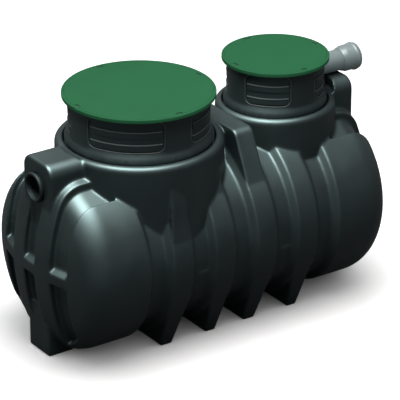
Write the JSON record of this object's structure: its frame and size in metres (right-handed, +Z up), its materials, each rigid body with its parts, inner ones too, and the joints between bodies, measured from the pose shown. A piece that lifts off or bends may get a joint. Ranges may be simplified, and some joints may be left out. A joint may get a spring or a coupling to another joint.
{
  "type": "underground water tank",
  "caption": "Horizontal ribbed plastic tank for burial, with two round necks, risers with screwed lids, end blocks for drain pipes and a vent pipe.",
  "frame": {"origin": "on the ground under the middle of the overall length", "axes": "+X along the tank from the inlet end to the outlet end, +Z up"},
  "size_m": [1.815, 0.87, 1.156],
  "materials": {
    "moulded_shell": "satin moulded",
    "riser_plastic": "satin moulded",
    "lid_plastic": "matt, fine grained",
    "pipe_plastic": "satin",
    "seal_rubber": "matt",
    "screw_steel": "dull"
  },
  "bodies": {
    "root": {"left_end": "moulded_shell", "right_end": "moulded_shell", "valley_1": "moulded_shell", "valley_2": "moulded_shell", "valley_3": "moulded_shell", "valley_4": "moulded_shell", "valley_5": "moulded_shell", "rib_1": "moulded_shell", "rib_2": "moulded_shell", "rib_3": "moulded_shell", "rib_4": "moulded_shell", "legs_1": "moulded_shell", "legs_2": "moulded_shell", "legs_3": "moulded_shell", "legs_4": "moulded_shell", "stay_1": "moulded_shell", "stay_2": "moulded_shell", "stay_3": "moulded_shell", "left_lobe": "moulded_shell", "right_lobe": "moulded_shell", "large_collar": "moulded_shell", "small_collar": "moulded_shell", "large_neck": "moulded_shell", "small_neck": "moulded_shell", "inlet_block": "moulded_shell", "outlet_block": "moulded_shell", "left_end_foot": "moulded_shell", "right_end_foot": "moulded_shell", "front_valley_pads": "moulded_shell", "rear_valley_pads": "moulded_shell", "large_riser": "riser_plastic", "small_riser": "riser_plastic", "large_lid": "lid_plastic", "small_lid": "lid_plastic", "large_lid_screws": "screw_steel", "small_lid_screws": "screw_steel", "inlet_seal": "seal_rubber", "outlet_seal": "seal_rubber", "pipe_grommet": "seal_rubber", "vent_pipe": "pipe_plastic", "pipe_socket": "pipe_plastic"}
  },
  "joints": []
}
